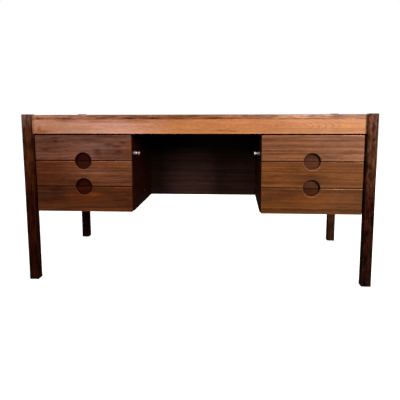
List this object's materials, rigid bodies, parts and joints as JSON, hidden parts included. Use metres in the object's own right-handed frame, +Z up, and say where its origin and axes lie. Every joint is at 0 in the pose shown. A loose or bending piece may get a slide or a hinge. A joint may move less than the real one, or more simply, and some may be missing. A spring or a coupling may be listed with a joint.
{
  "type": "executive desk",
  "caption": "Rosewood pedestal desk: square legs proud of the top, drawers hung under the apron with round finger pulls across their seams, push locks facing the knee space.",
  "frame": {"origin": "on the floor, under the middle of the desk", "axes": "+X to the sitter's right, +Y away from the sitter, +Z up"},
  "size_m": [1.5, 0.75, 0.735],
  "materials": {
    "rosewood_dark": "satin oil",
    "rosewood_light": "satin oil",
    "rosewood_top": "satin oil",
    "rosewood_front": "satin oil",
    "rosewood_carcass": "satin oil",
    "drawer_wood": "plain oak",
    "frame_wood": "plain beech",
    "lock_nickel": "dull nickel",
    "lock_steel": "drawn"
  },
  "bodies": {
    "desk": {"leg_front_right": "rosewood_dark", "leg_front_left": "rosewood_dark", "leg_rear_right": "rosewood_dark", "leg_rear_left": "rosewood_dark", "apron_front": "rosewood_light", "apron_rear": "rosewood_light", "side_rail_right": "rosewood_light", "side_rail_left": "rosewood_light", "desk_top": "rosewood_top", "top_lipping_front": "rosewood_top", "top_lipping_rear": "rosewood_top", "top_lipping_right": "rosewood_top", "top_lipping_left": "rosewood_top", "top_glue_blocks": "frame_wood", "modesty_panel": "rosewood_dark", "modesty_cleats": "frame_wood", "pedestal_right_inner_side": "rosewood_carcass", "pedestal_right_outer_side": "rosewood_carcass", "pedestal_right_bottom": "rosewood_carcass", "pedestal_right_back": "rosewood_carcass", "pedestal_right_drawer_runners": "frame_wood", "pedestal_right_hanging_cleats": "frame_wood", "lock_right_sleeve": "lock_nickel", "lock_right_guides": "lock_steel", "pedestal_left_inner_side": "rosewood_carcass", "pedestal_left_outer_side": "rosewood_carcass", "pedestal_left_bottom": "rosewood_carcass", "pedestal_left_back": "rosewood_carcass", "pedestal_left_drawer_runners": "frame_wood", "pedestal_left_hanging_cleats": "frame_wood", "lock_left_sleeve": "lock_nickel", "lock_left_guides": "lock_steel"},
    "drawer_right_top": {"drawer_right_top_front": "rosewood_front", "drawer_right_top_walls": "drawer_wood", "drawer_right_top_bottom_board": "drawer_wood", "drawer_right_top_catch": "lock_steel"},
    "drawer_right_middle": {"drawer_right_middle_front": "rosewood_front", "drawer_right_middle_walls": "drawer_wood", "drawer_right_middle_bottom_board": "drawer_wood", "drawer_right_middle_catch": "lock_steel"},
    "drawer_right_bottom": {"drawer_right_bottom_front": "rosewood_front", "drawer_right_bottom_walls": "drawer_wood", "drawer_right_bottom_bottom_board": "drawer_wood", "drawer_right_bottom_catch": "lock_steel"},
    "lock_right_plunger": {"lock_right_plunger": "lock_nickel"},
    "lock_right_bar": {"lock_right_bar": "lock_steel"},
    "drawer_left_top": {"drawer_left_top_front": "rosewood_front", "drawer_left_top_walls": "drawer_wood", "drawer_left_top_bottom_board": "drawer_wood", "drawer_left_top_catch": "lock_steel"},
    "drawer_left_middle": {"drawer_left_middle_front": "rosewood_front", "drawer_left_middle_walls": "drawer_wood", "drawer_left_middle_bottom_board": "drawer_wood", "drawer_left_middle_catch": "lock_steel"},
    "drawer_left_bottom": {"drawer_left_bottom_front": "rosewood_front", "drawer_left_bottom_walls": "drawer_wood", "drawer_left_bottom_bottom_board": "drawer_wood", "drawer_left_bottom_catch": "lock_steel"},
    "lock_left_plunger": {"lock_left_plunger": "lock_nickel"},
    "lock_left_bar": {"lock_left_bar": "lock_steel"}
  },
  "joints": [
    {"name": "drawer_right_top_slide", "type": "slide", "parent": "desk", "child": "drawer_right_top", "axis": [0, -1, 0], "range_m": [0, 0.3]},
    {"name": "drawer_right_middle_slide", "type": "slide", "parent": "desk", "child": "drawer_right_middle", "axis": [0, -1, 0], "range_m": [0, 0.3]},
    {"name": "drawer_right_bottom_slide", "type": "slide", "parent": "desk", "child": "drawer_right_bottom", "axis": [0, -1, 0], "range_m": [0, 0.3]},
    {"name": "lock_right_push", "type": "slide", "parent": "desk", "child": "lock_right_plunger", "axis": [1, 0, 0], "range_m": [0, 0.005], "stiffness_N_per_m": 300, "springref_m": -0.005},
    {"name": "lock_right_bar_lift", "type": "slide", "parent": "desk", "child": "lock_right_bar", "axis": [0, 0, 1], "range_m": [0, 0.005]},
    {"name": "drawer_left_top_slide", "type": "slide", "parent": "desk", "child": "drawer_left_top", "axis": [0, -1, 0], "range_m": [0, 0.3]},
    {"name": "drawer_left_middle_slide", "type": "slide", "parent": "desk", "child": "drawer_left_middle", "axis": [0, -1, 0], "range_m": [0, 0.3]},
    {"name": "drawer_left_bottom_slide", "type": "slide", "parent": "desk", "child": "drawer_left_bottom", "axis": [0, -1, 0], "range_m": [0, 0.3]},
    {"name": "lock_left_push", "type": "slide", "parent": "desk", "child": "lock_left_plunger", "axis": [-1, 0, 0], "range_m": [0, 0.005], "stiffness_N_per_m": 300, "springref_m": -0.005},
    {"name": "lock_left_bar_lift", "type": "slide", "parent": "desk", "child": "lock_left_bar", "axis": [0, 0, 1], "range_m": [0, 0.005]}
  ],
  "couplings": [
    {"joint": "lock_right_bar_lift", "follows": "lock_right_push", "ratio": 1},
    {"joint": "lock_left_bar_lift", "follows": "lock_left_push", "ratio": 1}
  ]
}
